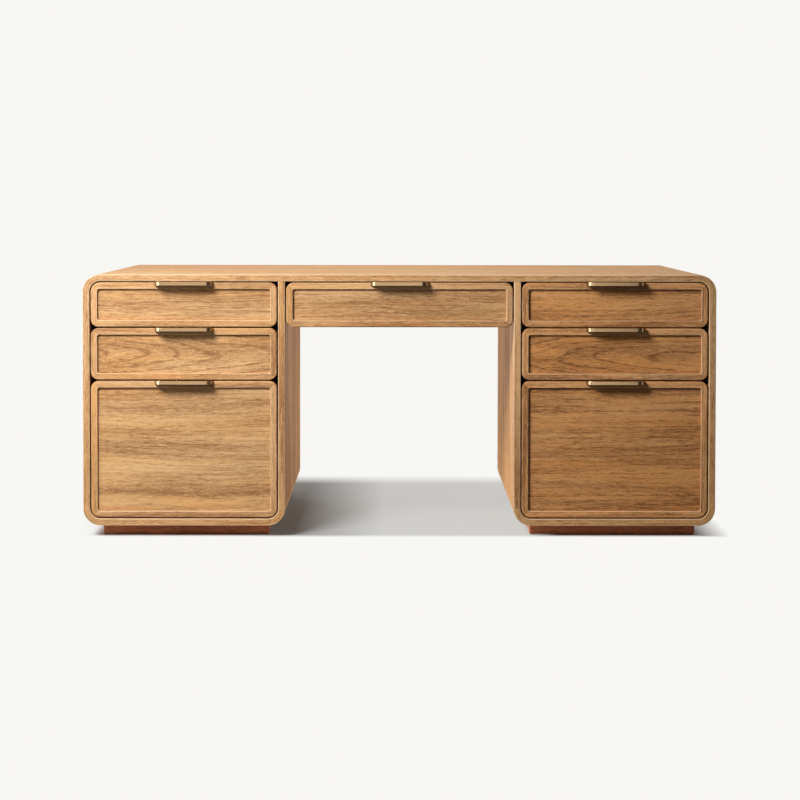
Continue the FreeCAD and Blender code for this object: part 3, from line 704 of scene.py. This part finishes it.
class DESK_OT_finishes(bpy.types.Operator):
    """Make the woods, metals and plastic"""
    bl_idname = "desk.finishes"
    bl_label = "Finishes"

    def execute(self, context):
        finish = context.scene.desk_finish
        timber_group()
        brushed_group()
        grained_group()

        def wood(name, light, dark, specular=0.2, **values):
            values.update(Light=opaque(light), Dark=opaque(dark))
            new_material(name, "sawn_timber", values, True, specular=specular, mirrored=finish.mirrored)

        pale, light, soft = finish.walnut_pale, finish.walnut_light, finish.walnut_soft
        # Redder, darker walnut for the right fronts: painted shade.
        deep_pale, deep, dark = finish.shaded_walnut_pale, finish.shaded_walnut, finish.shaded_walnut_dark
        # The carcass woods paint a fainter highlight on their rounded front edges.
        wood("carcass_wood", pale, soft, Broad=0.9, Line=0.15, Fleck=0.52, Rubbed=0.4)
        wood("inner_side_wood", pale, soft, specular=0.03, Broad=2.8, Line=0.15, Rubbed=0.4)
        wood("front_wood", pale, soft)
        wood("deep_front_wood", deep_pale, dark)
        wood("panel_wood", light, soft, Line=0.3, Streak=0.95)
        wood("arched_panel_wood", light, soft, Line=0.65, Streak=0.95)
        wood("deep_panel_wood", deep, dark, Line=0.35, Streak=1.15, Fleck=0.5)
        wood("deep_arched_panel_wood", deep, dark, Line=0.7)
        wood("plinth_wood", finish.plinth_light, finish.plinth_dark)
        wood("box_wood", finish.maple_light, finish.maple_dark, Streak=0.6, Fleck=0.1)
        new_material("tongue_wood", "sawn_timber",
                     {"Light": opaque(finish.maple_light), "Dark": opaque(finish.maple_dark)})
        new_material("brass", "brushed_metal",
                     {"Color": opaque(finish.brass), "Stretch": (5, 1100, 1100), "Roughness": 0.16},
                     metallic=1.0, bump=0.05, depth=0.00005, thrown=0.15)
        new_material("slide_steel", "brushed_metal",
                     {"Color": opaque(finish.steel), "Stretch": (900, 6, 900), "Roughness": 0.36},
                     metallic=1.0, bump=0.12, depth=0.00005)
        new_material("nylon", "moulded_grain", {"Color": opaque(finish.nylon)}, depth=0.0001)
        return {"FINISHED"}


def carcass_board(node, along, ceiling=math.inf, number=None):
    """A board up to the ceiling at most, cut from a log of its own if it has a number."""
    low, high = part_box(node)
    high = (high[X], high[Y], min(high[Z], ceiling))
    piece = block(f"{node}_board", low, high)
    round_edges(piece, shape().edge_round, lambda edge: runs(edge, along))
    ease(piece)
    if number is None:
        timber(piece, wrapped())
        settle(piece, "carcass", "carcass_wood", node)
    else:
        timber(piece, sawn(low, high, Z, Y, INNER_SIDE_CUT, number))
        settle(piece, "carcass", "carcass_wood", node, "inner_side_wood")


class DESK_OT_carcass_boards(bpy.types.Operator):
    """Model the top, sides and bottoms, with the grain running round the corners"""
    bl_idname = "desk.carcass_boards"
    bl_label = "Carcass Boards"

    def execute(self, context):
        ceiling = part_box("desk_top")[0][Z]
        carcass_board("desk_top", X)
        for number, side in enumerate(SIDES):
            carcass_board(f"{side}_bottom", X)
            carcass_board(f"{side}_outer_side", Z, ceiling)
            carcass_board(f"{side}_inner_side", Z, ceiling, number)
        return {"FINISHED"}


def carcass_corner(axis_x, axis_z, turns):
    """A section with eased corners, spun through a quarter turn from the given quarter on."""
    low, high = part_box("desk_top")
    thick = high[Z] - low[Z]
    middle = (0, (low[Y] + high[Y]) / 2, shape().corner_radius - thick / 2)
    bpy.ops.mesh.primitive_plane_add(size=1, location=middle)
    piece = bpy.context.active_object
    piece.rotation_euler = (0, QUARTER, 0)
    piece.scale = (thick, high[Y] - low[Y], 1)
    fix_place()
    edit_all(piece)
    bpy.ops.mesh.bevel(offset=shape().edge_round, segments=EDGE_STEPS, affect="VERTICES")
    select_mesh()
    bpy.ops.mesh.spin(steps=ARC_STEPS, angle=-QUARTER, center=(0, 0, 0), axis=(0, 1, 0))
    select_mesh()
    bpy.ops.mesh.remove_doubles(threshold=TOUCH)
    bpy.ops.mesh.fill_holes(sides=0)
    select_mesh()
    bpy.ops.mesh.normals_make_consistent(inside=False)
    leave_edit()
    turned = Matrix.Rotation(turns * QUARTER, 4, "Y")
    piece.data.transform(Matrix.Translation((axis_x, 0, axis_z)) @ turned)
    timber(piece, wrapped())
    return piece


class DESK_OT_corner_blocks(bpy.types.Operator):
    """Spin the quarter-round corners of the carcass"""
    bl_idname = "desk.corner_blocks"
    bl_label = "Corner Blocks"

    def execute(self, context):
        radius = shape().corner_radius
        top_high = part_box("top_corner_blocks")[1]
        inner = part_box("right_inner_side")[0][X] + radius
        outer = top_high[X] - radius
        high = top_high[Z] - radius
        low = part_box("bottom_corner_blocks")[0][Z] + radius
        for level, z, places in (("top", high, ((outer, 0), (-outer, 3))),
                                 ("bottom", low, ((-outer, 2), (-inner, 1), (inner, 2), (outer, 1)))):
            piece = join([carcass_corner(x, z, turns) for x, turns in places], f"{level}_corners")
            ease(piece)
            settle(piece, "carcass", "carcass_wood", f"{level}_corner_blocks")
        return {"FINISHED"}


class DESK_OT_back_panels(bpy.types.Operator):
    """Model the three back panels"""
    bl_idname = "desk.back_panels"
    bl_label = "Back Panels"

    def execute(self, context):
        for number, name in enumerate((*SIDES, "centre")):
            node = f"{name}_back_panel"
            low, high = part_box(node)
            piece = block(f"{node}_board", low, high)
            along, across = (X, Z) if name == "centre" else (Z, X)
            if name != "centre":
                square = high[X] if name == "left" else low[X]
                round_edges(piece, shape().back_radius, lambda edge: runs(edge, Y) and not (
                    lies(edge, X, square) and lies(edge, Z, high[Z])), ARC_STEPS)
            round_edges(piece, shape().edge_round / 2, lambda edge: lies(edge, Y, high[Y]))
            timber(piece, sawn(low, high, along, across, BACK_CUT, number))
            settle(piece, "carcass", "carcass_wood", node)
        return {"FINISHED"}


def plinth_board(low, high, along, number):
    """One board of a plinth, with the grain along an axis."""
    piece = block("plinth_board", low, high)
    round_edges(piece, shape().edge_round / 2)
    timber(piece, sawn(low, high, along, Z, PLINTH_CUT, number, low[X] + low[Y]))
    return piece


class DESK_OT_plinths(bpy.types.Operator):
    """Model the plinths, four boards each, and dress the glides"""
    bl_idname = "desk.plinths"
    bl_label = "Plinths"

    def execute(self, context):
        thick = shape().plinth_board
        for number, side in enumerate(SIDES):
            (left, front, bottom), (right, back, top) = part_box(f"{side}_plinth")
            boards = [plinth_board((left, y, bottom), (right, y + thick, top), X, number)
                      for y in (front, back - thick)]
            boards += [plinth_board((x, front + thick, bottom), (x + thick, back - thick, top), Y, number)
                       for x in (left, right - thick)]
            settle(join(boards, f"{side}_plinth_boards"), "carcass", "plinth_wood", f"{side}_plinth")
        dress(frame["nodes"]["floor_glides"], "nylon")
        return {"FINISHED"}


def front_frame(drawer, number):
    """A ring with rounded corners and edges, cut into four mitred members."""
    size = shape()
    low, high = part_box(f"{drawer}_frame")
    inside = {axis: (low[axis] + size.frame_width, high[axis] - size.frame_width) for axis in (X, Z)}

    def within(place, slack=TOUCH):
        return all(start - slack < place[axis] < end + slack for axis, (start, end) in inside.items())

    def on_recess(item):
        return all(within(vertex.co) for vertex in item.verts)

    def faces_y(face):
        return abs(face.normal.y) > FACING

    def on_front(edge):
        return lies(edge, Y, low[Y]) and not all(faces_y(face) for face in edge.link_faces)

    ring = block("ring", low, high)
    for place in (low[Y], high[Y]):
        edit(ring, "FACE", lambda face: lies(face, Y, place))
        bpy.ops.mesh.inset(thickness=size.frame_width)
        leave_edit()
    edit(ring, "FACE", lambda face: faces_y(face) and on_recess(face))
    bpy.ops.mesh.bridge_edge_loops()
    leave_edit()
    corners = [(x, z) for x in (low[X], high[X]) for z in (low[Z], high[Z])]
    matched = beside_carcass(drawer, low, high)
    plain = [corner for corner in corners if corner not in matched]
    inner = [(x, z) for x in inside[X] for z in inside[Z]]
    for radius, places in ((size.front_radius, plain), (size.carcass_front_radius, matched),
                           (size.recess_radius, inner)):
        if places:
            round_edges(ring, radius, lambda edge: runs(edge, Y) and any(
                lies(edge, X, x) and lies(edge, Z, z) for x, z in places), CORNER_STEPS)
    round_edges(ring, size.front_edge_round, lambda edge: on_front(edge) and not on_recess(edge),
                CORNER_STEPS)
    round_edges(ring, size.recess_edge_round, lambda edge: on_front(edge) and on_recess(edge), CORNER_STEPS)
    piece = join(frame_members(ring, low, high, number), f"{drawer}_front_frame")
    drop(ring)
    # Only the rounds towards the panel take the painted highlight.
    ease(piece, lambda place: within(place, size.recess_edge_round + TOUCH))
    settle(piece, drawer, "front_wood", f"{drawer}_frame", front_finish(drawer, "front_wood"))


def beside_carcass(drawer, low, high):
    """The corners of a front that follow a corner of the carcass."""
    if drawer.endswith("file_drawer"):
        return [(low[X], low[Z]), (high[X], low[Z])]
    if drawer.endswith("top_drawer"):
        return [(low[X] if drawer.startswith("left") else high[X], high[Z])]
    return []


def frame_members(ring, low, high, number):
    """The ring's four members, cut along the mitres."""
    middle = centre(low, high)
    made = []
    for cut, (axis, end) in zip(MEMBER_CUTS, ((Z, low), (Z, high), (X, low), (X, high))):
        inwards = 1 if end is low else -1
        other = X if axis == Z else Z
        member = copy(ring, "member")
        keep_side(member, middle, {axis: inwards})
        for corner, turn in ((low, -1), (high, 1)):
            spot = list(middle)
            spot[axis], spot[other] = end[axis], corner[other]
            keep_side(member, spot, {axis: inwards, other: turn})
        bevel(member, shape().mitre_ease, 1, MITRE_ANGLE)
        timber(member, sawn(low, high, other, axis, cut, number))
        made.append(member)
    return made


def keep_side(member, place, outwards):
    """Cuts a member with a plane and clears what lies on the outward side."""
    normal = Vector([outwards.get(axis, 0) for axis in (X, Y, Z)])
    edit_all(member)
    bpy.ops.mesh.bisect(plane_co=place, plane_no=normal.normalized(), use_fill=True, clear_outer=True)
    leave_edit()


def front_panel(drawer, number):
    """The panel inside a front's frame, with arched figure on the middle drawers."""
    low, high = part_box(f"{drawer}_panel")
    piece = block(f"{drawer}_front_panel", low, high)
    round_edges(piece, shape().edge_round)
    timber(piece, sawn(low, high, X, Z, PANEL_CUTS[drawer.removesuffix("_drawer")], number))
    figure = "arched_panel_wood" if "middle" in drawer else "panel_wood"
    settle(piece, drawer, "panel_wood", f"{drawer}_panel", front_finish(drawer, figure))


def front_finish(drawer, name):
    """The right pedestal's fronts take redder copies of the walnut with darker streaks: painted shade for the
    right side of the desk.
    """
    return f"deep_{name}" if drawer.startswith("right") else name


class DESK_OT_drawer_fronts(bpy.types.Operator):
    """Model the mitred frames and the panels of the drawer fronts"""
    bl_idname = "desk.drawer_fronts"
    bl_label = "Drawer Fronts"

    def execute(self, context):
        for number, drawer in enumerate(DRAWERS):
            front_frame(drawer, number)
            front_panel(drawer, number)
        return {"FINISHED"}


def drawer_box(name, low, high):
    """Two ends with sockets, two sides with the tails and a floor in grooves half a wall deep."""
    size = shape()
    wall = size.box_wall
    inset = wall / 2
    (left, front, bottom), (right, back, top) = low, high

    def board(kind, first, last, along):
        piece = block(kind, first, last)
        round_edges(piece, size.edge_round, lambda edge: runs(edge, along) and lies(edge, Z, top))
        return piece

    ends = []
    for outer, inner in ((front, front + wall), (back, back - wall)):
        start, stop = sorted((outer, inner))
        end = board("box_end", (left, start, bottom), (right, stop, top), X)
        cut_away(end, tails(low, high, outer, inner))
        ends.append(end)
    floor_low = (left + inset, front + inset, bottom + size.floor_lift)
    floor_high = (right - inset, back - inset, bottom + size.floor_lift + size.box_floor)
    floor = block("box_floor", floor_low, floor_high)
    sides = []
    for number, x in enumerate((left, right - wall)):
        first, last = (x, front, bottom), (x + wall, back, top)
        side = board("box_side", first, last, Y)
        for cutter in (*ends, floor):
            carve(side, cutter)
        timber(side, sawn(first, last, Y, Z, BOX_SIDE_CUT, number, top))
        sides.append(side)
    for number, end in enumerate(ends):
        carve(end, floor)
        timber(end, sawn(low, high, X, Z, BOX_END_CUT, number, top))
    round_edges(floor, size.edge_round)
    timber(floor, sawn(floor_low, floor_high, X, Y, BOX_FLOOR_CUT, further=top))
    return join([*sides, *ends, floor], name)


def tails(low, high, outer, inner):
    """All the dovetails that one end of the box takes, on both sides, as one cutter."""
    size = shape()
    height = high[Z] - low[Z]
    count = max(round(height / size.tail_pitch), 2)
    pitch = height / count
    half = pitch / 3  # a tail takes two thirds of the pitch
    reach = size.tail_flare
    step = 1 if inner > outer else -1
    tip = inner + step * reach
    start, stop = sorted((outer - step * reach, tip))
    made = []
    for x in (low[X] - reach, high[X] - size.box_wall):
        for number in range(count):
            middle = low[Z] + pitch * (number + 0.5)
            tail = block("tail", (x, start, middle - half), (x + size.box_wall + reach, stop, middle + half))
            edit(tail, "FACE", lambda face: lies(face, Y, tip))
            bpy.ops.transform.resize(value=(1, 1, (half - reach) / half), center_override=(x, inner, middle))
            leave_edit()
            made.append(tail)
    return join(made, "tails")


class DESK_OT_drawer_boxes(bpy.types.Operator):
    """Model the dovetailed drawer boxes, one of each size, and copy them"""
    bl_idname = "desk.drawer_boxes"
    bl_label = "Drawer Boxes"

    def execute(self, context):
        made = {}
        pieces = []
        for drawer in DRAWERS:
            low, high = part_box(f"{drawer}_box")
            lengths = tuple(round(b - a, 4) for a, b in zip(low, high))
            name = f"{drawer}_dovetailed_box"
            if lengths in made:
                first, first_low = made[lengths]
                pieces.append(copy(first, name, [a - b for a, b in zip(low, first_low)]))
            else:
                pieces.append(drawer_box(name, low, high))
                made[lengths] = (pieces[-1], low)
        for drawer, piece in zip(DRAWERS, pieces):
            settle(piece, drawer, "box_wood", f"{drawer}_box")
        return {"FINISHED"}


def pull(low, high):
    """A plate with a lip turned down in front, hollow behind the lip, and two screws."""
    size = shape()
    wall = size.pull_wall
    (left, front, _), (right, back, top) = low, high
    face = back - size.pull_flange
    bottom = top - size.pull_lip
    piece = rounded("pull", (left, front, bottom), (right, face, top), size.pull_radius)
    cut_away(piece, rounded("hollow", (left + wall, front + wall, bottom - wall),
                            (right - wall, face + wall, top - wall), size.pull_radius - wall))
    plate = block("plate", (left, face - wall, top - wall), (right, back, top))
    use_modifier(piece, "BOOLEAN", operation="UNION", solver="EXACT", object=plate)
    drop(plate)
    bevel(piece, size.pull_round, EDGE_STEPS, HARD_ANGLE)
    screws = []
    for side in (-1, 1):
        place = ((left + right + side * size.screw_spacing) / 2, face + size.pull_flange / 2, top)
        cut_away(piece, cone("hole", place, size.screw_gap))
        screws.append(screw(place))
    return join([piece, *screws], "pull")


def rounded(name, low, high, radius):
    """A block with its two front corners rounded, seen from above."""
    piece = block(name, low, high)
    round_edges(piece, radius, lambda edge: runs(edge, Z) and lies(edge, Y, low[Y]), ARC_STEPS)
    return piece


def cone(name, place, gap):
    """The countersunk shape of a screw's head, wider by the gap, with its top at a place."""
    x, y, top = place
    depth = shape().screw_depth
    wide = shape().screw_head / 2 + gap
    bpy.ops.mesh.primitive_cone_add(vertices=2 * ARC_STEPS, radius1=wide / 2, radius2=wide, depth=depth,
                                    location=(x, y, top - depth / 2))
    piece = bpy.context.active_object
    piece.name = name
    fix_place()
    return piece


def screw(place):
    """A slotted head, flush with the plate."""
    x, y, top = place
    long, wide = shape().screw_head, shape().screw_slot
    head = cone("screw", place, 0)
    cut_away(head, block("slot", (x - long, y - wide / 2, top - wide), (x + long, y + wide / 2, top + wide)))
    return head


class DESK_OT_pulls(bpy.types.Operator):
    """Model one brass edge pull with its screws, and copy it to every drawer"""
    bl_idname = "desk.pulls"
    bl_label = "Pulls"

    def execute(self, context):
        first_low, first_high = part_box(f"{DRAWERS[0]}_pull")
        first = pull(first_low, first_high)
        pulls = [first]
        for drawer in DRAWERS[1:]:
            low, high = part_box(f"{drawer}_pull")
            pulls.append(copy(first, "pull", [low[X] - first_low[X], 0, high[Z] - first_high[Z]]))
        for drawer, piece in zip(DRAWERS, pulls):
            piece.name = f"{drawer}_edge_pull"
            settle(piece, drawer, "brass", f"{drawer}_pull")
        return {"FINISHED"}


class DESK_OT_slides(bpy.types.Operator):
    """Dress the slide members and the hidden tongues"""
    bl_idname = "desk.slides"
    bl_label = "Slides"

    def execute(self, context):
        dress(frame["nodes"]["corner_splines"], "tongue_wood")
        for name, node in frame["nodes"].items():
            if name.endswith("_slides"):
                dress(node, "slide_steel")
        return {"FINISHED"}


def add_floor(stage):
    """A wide floor that shows the backdrop's colour but keeps the desk's shadows near it, with painted shade
    under the desk.
    """
    bpy.ops.mesh.primitive_circle_add(vertices=FLOOR_STEPS, radius=FLOOR_RADIUS, fill_type="NGON")
    floor = bpy.context.active_object
    floor.name = "studio_floor"
    material = bpy.data.materials.new("studio_floor")
    material.use_nodes = True
    material.node_tree.nodes.clear()
    nodes = Nodes(material.node_tree)
    pale = opaque(stage.backdrop)
    place = nodes.add("TexCoord").outputs["Object"]
    parts = nodes.add("SeparateXYZ")
    nodes.feed(parts.inputs[0], place)
    rays = nodes.add("LightPath").outputs
    seen = nodes.seen(rays)
    across, deep = nodes.math("ABSOLUTE", parts.outputs["X"]), parts.outputs["Y"]

    # How much of the backdrop shows through the shade under the desk; across the kneehole it changes from
    # left to right, a painted shade that is darkest beside the left pedestal.
    knee = nodes.spread(across, stage.knee_half + stage.knee_fade, stage.knee_half)
    open_side = nodes.spread(parts.outputs["X"], *stage.knee_shade, *stage.knee_clear)
    beyond = nodes.most(nodes.spread(deep, *stage.shade_front), nodes.spread(deep, *stage.shade_back))
    clear = nodes.most(nodes.spread(across, *stage.shade_side), beyond)
    share = nodes.spread(clear, 0.0, 1.0, nodes.times(knee, open_side), 1.0)

    # What the floor throws on the desk, by its way from the shaded part.
    front, back = stage.shade_front[0], stage.shade_back[0]
    middle, reach = (0, (front + back) / 2, 0), (stage.shade_side[0], (back - front) / 2, 0)
    offset = nodes.vector("ABSOLUTE", nodes.vector("SUBTRACT", place, middle))
    outside = nodes.vector("SUBTRACT", offset, reach)
    away = nodes.vector("LENGTH", nodes.vector("MAXIMUM", outside, (0, 0, 0)))
    far = nodes.spread(away, 0.0, stage.bounce_reach)
    around = nodes.blend(far, pale, opaque(stage.bounce))
    # Painted shade: the camera sees the floor under the desk darker than the lamps make it, and the kneehole
    # darker still.
    shaded = nodes.blend(knee, opaque(stage.shaded), opaque(stage.knee_shaded))

    lit = nodes.add("BsdfDiffuse")
    nodes.feed(lit.inputs["Color"], nodes.blend(seen, around, shaded))
    air = nodes.add("Emission")
    nodes.feed(air.inputs["Color"], pale)
    mirrored = nodes.times(rays["Is Glossy Ray"], stage.floor_mirrored)
    mix = nodes.add("MixShader")
    backdrop = nodes.times(share, nodes.most(seen, mirrored))
    nodes.feed_all(mix.inputs, (backdrop, lit.outputs[0], air.outputs[0]))
    nodes.feed(nodes.add("OutputMaterial").inputs["Surface"], mix.outputs[0])
    floor.data.materials.append(material)


def add_air(stage):
    """Air that the camera sees as the backdrop and that lights the desk only a little."""
    world = bpy.data.worlds.new("studio_air")
    bpy.context.scene.world = world
    world.use_nodes = True
    world.node_tree.nodes.clear()
    nodes = Nodes(world.node_tree)
    rays = nodes.add("LightPath").outputs
    light = nodes.spread(rays["Is Glossy Ray"], 0.0, 1.0, stage.sky, stage.reflected)
    air = nodes.add("Background")
    nodes.feed(air.inputs["Color"], opaque(stage.backdrop))
    nodes.feed(air.inputs["Strength"], nodes.most(nodes.seen(rays), light))
    nodes.feed(nodes.add("OutputWorld").inputs["Surface"], air.outputs[0])


def add_lamps(stage):
    """Square lamps, each turned to its target."""
    for name, watts, size, place, target in LAMPS:
        data = bpy.data.lights.new(name, "AREA")
        data.energy = getattr(stage, watts)
        data.size = getattr(stage, size)
        data.color = stage.fill_colour if name == "fill" else LAMP_COLOUR
        lamp = bpy.data.objects.new(name, data)
        lamp.location = place
        lamp.rotation_euler = (Vector(target) - Vector(place)).to_track_quat("-Z", "Y").to_euler()
        bpy.context.scene.collection.objects.link(lamp)


def add_flag():
    """A dark card at the right, out of the camera's sight, that the pulls' right ends reflect."""
    card = block("flag", FLAG_LOW, FLAG_HIGH)
    material = bpy.data.materials.new("black_card")
    material.use_nodes = True
    shader = material.node_tree.nodes["Principled BSDF"]
    shader.inputs["Base Color"].default_value = FLAG_BLACK
    shader.inputs["Roughness"].default_value = 1.0
    card.data.materials.append(material)
    card.visible_camera = False


def add_camera(stage):
    """A camera that takes the photo's view of the desk."""
    data = bpy.data.cameras.new("camera")
    data.sensor_width = SENSOR_WIDTH
    data.lens = stage.lens
    data.shift_y = stage.shift
    camera = bpy.data.objects.new("camera", data)
    turned = (Matrix.Rotation(-CAMERA_YAW, 4, "Z") @ Matrix.Rotation(QUARTER - CAMERA_PITCH, 4, "X")
              @ Matrix.Rotation(CAMERA_ROLL, 4, "Z"))
    camera.matrix_world = Matrix.Translation(CAMERA_PLACE) @ turned
    bpy.context.scene.collection.objects.link(camera)
    bpy.context.scene.camera = camera


class DESK_OT_stage(bpy.types.Operator):
    """Set the floor, the light and the camera"""
    bl_idname = "desk.stage"
    bl_label = "Stage"

    def execute(self, context):
        context.scene.view_settings.view_transform = "Standard"
        stage = context.scene.desk_stage
        add_floor(stage)
        add_air(stage)
        add_lamps(stage)
        add_flag()
        add_camera(stage)
        return {"FINISHED"}


OPERATORS = (
    DESK_OT_finishes, DESK_OT_carcass_boards, DESK_OT_corner_blocks, DESK_OT_back_panels, DESK_OT_plinths,
    DESK_OT_drawer_fronts, DESK_OT_drawer_boxes, DESK_OT_pulls, DESK_OT_slides, DESK_OT_stage,
)
GROUPS = (("desk_shape", DeskShape), ("desk_finish", DeskFinish), ("desk_stage", DeskStage))


class DESK_PT_desk(bpy.types.Panel):
    """Settings and steps of the desk"""
    bl_idname = "DESK_PT_desk"
    bl_label = "Office Desk"
    bl_space_type = "VIEW_3D"
    bl_region_type = "UI"
    bl_category = "Desk"

    def draw(self, context):
        for group, kind in GROUPS:
            column = self.layout.column()
            for name in kind.__annotations__:
                column.prop(getattr(context.scene, group), name)
        for operator in OPERATORS:
            self.layout.operator(operator.bl_idname)


def register():
    for name, group in GROUPS:
        bpy.utils.register_class(group)
        setattr(bpy.types.Scene, name, bpy.props.PointerProperty(type=group))
    for operator in OPERATORS:
        bpy.utils.register_class(operator)
    bpy.utils.register_class(DESK_PT_desk)


def unregister():
    bpy.utils.unregister_class(DESK_PT_desk)
    for operator in reversed(OPERATORS):
        bpy.utils.unregister_class(operator)
    for name, group in reversed(GROUPS):
        delattr(bpy.types.Scene, name)
        bpy.utils.unregister_class(group)


def main():
    register()
    bpy.ops.desk.finishes()
    bpy.ops.desk.carcass_boards()
    bpy.ops.desk.corner_blocks()
    bpy.ops.desk.back_panels()
    bpy.ops.desk.plinths()
    bpy.ops.desk.drawer_fronts()
    bpy.ops.desk.drawer_boxes()
    bpy.ops.desk.pulls()
    bpy.ops.desk.slides()
    bpy.ops.desk.stage()


if __name__ == "__main__":
    main()
